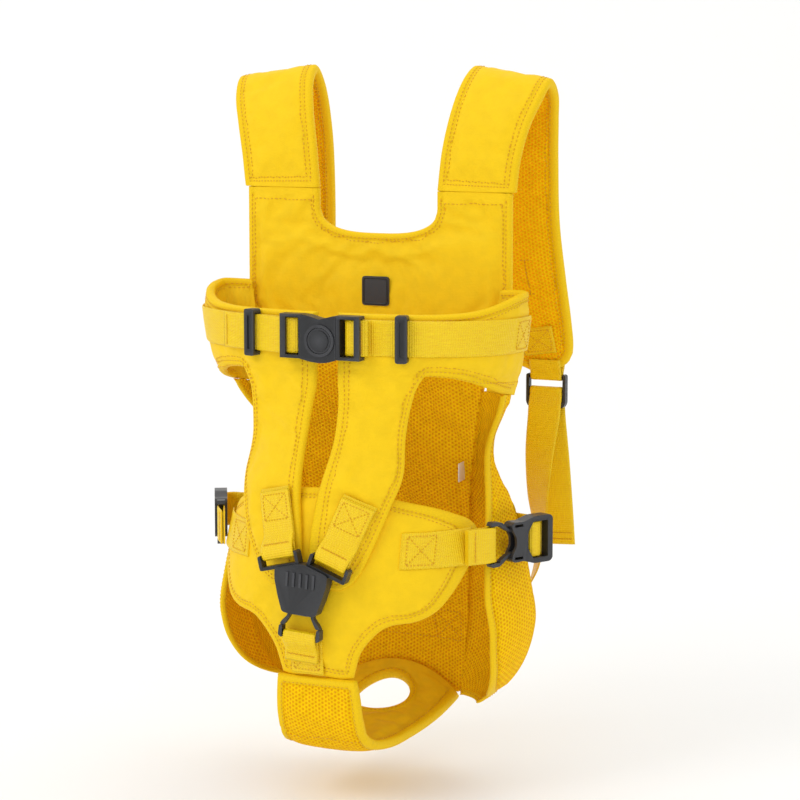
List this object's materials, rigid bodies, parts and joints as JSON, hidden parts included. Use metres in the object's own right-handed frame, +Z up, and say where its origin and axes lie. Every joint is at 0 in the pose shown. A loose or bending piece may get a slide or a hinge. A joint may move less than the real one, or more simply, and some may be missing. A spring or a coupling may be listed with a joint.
{
  "type": "front carrier vest",
  "caption": "Front carrier vest: padded back panel and yoke on two shoulder straps, chest flaps, side walls and seat forming a pouch closed by plastic buckles.",
  "frame": {"origin": "midway between the two shoulder straps, level with the undersides of their crests", "axes": "+X the right-hand side seen from the front, +Y towards the wearer, +Z up"},
  "size_m": [0.321, 0.2449, 0.572],
  "materials": {
    "padded_fabric": "smooth woven nylon over foam",
    "spacer_mesh": "knitted spacer mesh",
    "strap_webbing": "woven polyester webbing",
    "moulded_plastic": "moulded, fine satin texture",
    "badge_rubber": "moulded, satin",
    "label_tape": "smooth woven tape"
  },
  "bodies": {
    "vest": {"back_panel": "spacer_mesh", "badge": "badge_rubber", "care_label": "label_tape", "chest_buckle_housing": "moulded_plastic", "chest_flap_left": "padded_fabric", "chest_flap_right": "padded_fabric", "chest_webbing_left": "strap_webbing", "chest_webbing_right": "strap_webbing", "crotch_panel": "padded_fabric", "crotch_tab": "strap_webbing", "flap_tab_left": "strap_webbing", "flap_tab_right": "strap_webbing", "ladder_lock_left": "moulded_plastic", "ladder_lock_right": "moulded_plastic", "lock_loop_left": "strap_webbing", "lock_loop_right": "strap_webbing", "rear_anchor_strip": "strap_webbing", "seat_panel": "spacer_mesh", "shoulder_strap_left": "padded_fabric", "shoulder_strap_right": "padded_fabric", "shoulder_webbing_left": "strap_webbing", "shoulder_webbing_right": "strap_webbing", "side_anchor_webbing_left": "strap_webbing", "side_anchor_webbing_right": "strap_webbing", "side_buckle_socket_left": "moulded_plastic", "side_buckle_socket_right": "moulded_plastic", "side_wall_left": "spacer_mesh", "side_wall_right": "spacer_mesh", "three_way_buckle": "moulded_plastic", "wing_webbing_left": "strap_webbing", "wing_webbing_right": "strap_webbing", "yoke_panel": "padded_fabric"},
    "chest_button": {"chest_buckle_button": "moulded_plastic"},
    "chest_tongue": {"chest_buckle_tongue": "moulded_plastic", "chest_tongue_loop": "strap_webbing"},
    "keeper_right": {"chest_keeper_right": "moulded_plastic"},
    "side_plug_right": {"side_buckle_plug_right": "moulded_plastic", "side_plug_loop_right": "strap_webbing"},
    "side_prong_upper_right": {"side_buckle_upper_prong_right": "moulded_plastic"},
    "side_prong_lower_right": {"side_buckle_lower_prong_right": "moulded_plastic"},
    "keeper_left": {"chest_keeper_left": "moulded_plastic"},
    "side_plug_left": {"side_buckle_plug_left": "moulded_plastic", "side_plug_loop_left": "strap_webbing"},
    "side_prong_upper_left": {"side_buckle_upper_prong_left": "moulded_plastic"},
    "side_prong_lower_left": {"side_buckle_lower_prong_left": "moulded_plastic"},
    "crotch_plug": {"crotch_plug": "moulded_plastic", "crotch_plug_loop": "strap_webbing"},
    "crotch_prong_left": {"crotch_plug_left_prong": "moulded_plastic"},
    "crotch_prong_right": {"crotch_plug_right_prong": "moulded_plastic"},
    "webbing_tail_right": {"webbing_tail_right": "strap_webbing"},
    "webbing_tail_left": {"webbing_tail_left": "strap_webbing"}
  },
  "joints": [
    {"name": "chest_button_press", "type": "slide", "parent": "vest", "child": "chest_button", "axis": [0, 1, 0], "range_m": [0, 0.0017], "stiffness_N_per_m": 400},
    {"name": "chest_tongue_slide", "type": "slide", "parent": "vest", "child": "chest_tongue", "axis": [1, 0, 0], "range_m": [0, 0.017]},
    {"name": "keeper_right_slide", "type": "hinge", "parent": "vest", "child": "keeper_right", "pos_m": [0.0266, 0.043, -0.205], "axis": [0, 0, 1], "range_deg": [0, 2.4]},
    {"name": "side_plug_right_slide", "type": "slide", "parent": "vest", "child": "side_plug_right", "axis": [-0.4695, -0.8829, 0], "range_m": [0, 0.017]},
    {"name": "side_prong_upper_right_flex", "type": "hinge", "parent": "side_plug_right", "child": "side_prong_upper_right", "pos_m": [0.12987, -0.07733, -0.362], "axis": [-0.8829, 0.4695, 0], "range_deg": [0, 5], "stiffness_Nm_per_rad": 0.25},
    {"name": "side_prong_lower_right_flex", "type": "hinge", "parent": "side_plug_right", "child": "side_prong_lower_right", "pos_m": [0.12987, -0.07733, -0.396], "axis": [-0.8829, 0.4695, 0], "range_deg": [-5, 0], "stiffness_Nm_per_rad": 0.25},
    {"name": "keeper_left_slide", "type": "hinge", "parent": "vest", "child": "keeper_left", "pos_m": [-0.0266, 0.043, -0.205], "axis": [0, 0, -1], "range_deg": [0, 2.4]},
    {"name": "side_plug_left_slide", "type": "slide", "parent": "vest", "child": "side_plug_left", "axis": [0.4695, -0.8829, 0], "range_m": [0, 0.017]},
    {"name": "side_prong_upper_left_flex", "type": "hinge", "parent": "side_plug_left", "child": "side_prong_upper_left", "pos_m": [-0.12987, -0.07733, -0.362], "axis": [-0.8829, -0.4695, 0], "range_deg": [0, 5], "stiffness_Nm_per_rad": 0.25},
    {"name": "side_prong_lower_left_flex", "type": "hinge", "parent": "side_plug_left", "child": "side_prong_lower_left", "pos_m": [-0.12987, -0.07733, -0.396], "axis": [-0.8829, -0.4695, 0], "range_deg": [-5, 0], "stiffness_Nm_per_rad": 0.25},
    {"name": "crotch_plug_slide", "type": "slide", "parent": "vest", "child": "crotch_plug", "axis": [-0.0698, 0, -0.9976], "range_m": [0, 0.017]},
    {"name": "crotch_prong_left_flex", "type": "hinge", "parent": "crotch_plug", "child": "crotch_prong_left", "pos_m": [-0.02491, -0.1695, -0.44175], "axis": [0, 1, 0], "range_deg": [0, 5], "stiffness_Nm_per_rad": 0.25},
    {"name": "crotch_prong_right_flex", "type": "hinge", "parent": "crotch_plug", "child": "crotch_prong_right", "pos_m": [0.00901, -0.1695, -0.44412], "axis": [0, 1, 0], "range_deg": [-5, 0], "stiffness_Nm_per_rad": 0.25},
    {"name": "webbing_tail_right_swing", "type": "hinge", "parent": "vest", "child": "webbing_tail_right", "pos_m": [0.1225, 0.0545, -0.2668], "axis": [1, 0, 0], "range_deg": [0, 30]},
    {"name": "webbing_tail_left_swing", "type": "hinge", "parent": "vest", "child": "webbing_tail_left", "pos_m": [-0.1225, 0.0545, -0.2668], "axis": [1, 0, 0], "range_deg": [0, 30]}
  ],
  "couplings": [
    {"joint": "side_prong_lower_right_flex", "follows": "side_prong_upper_right_flex", "ratio": -1},
    {"joint": "side_prong_lower_left_flex", "follows": "side_prong_upper_left_flex", "ratio": -1},
    {"joint": "crotch_prong_right_flex", "follows": "crotch_prong_left_flex", "ratio": -1}
  ]
}
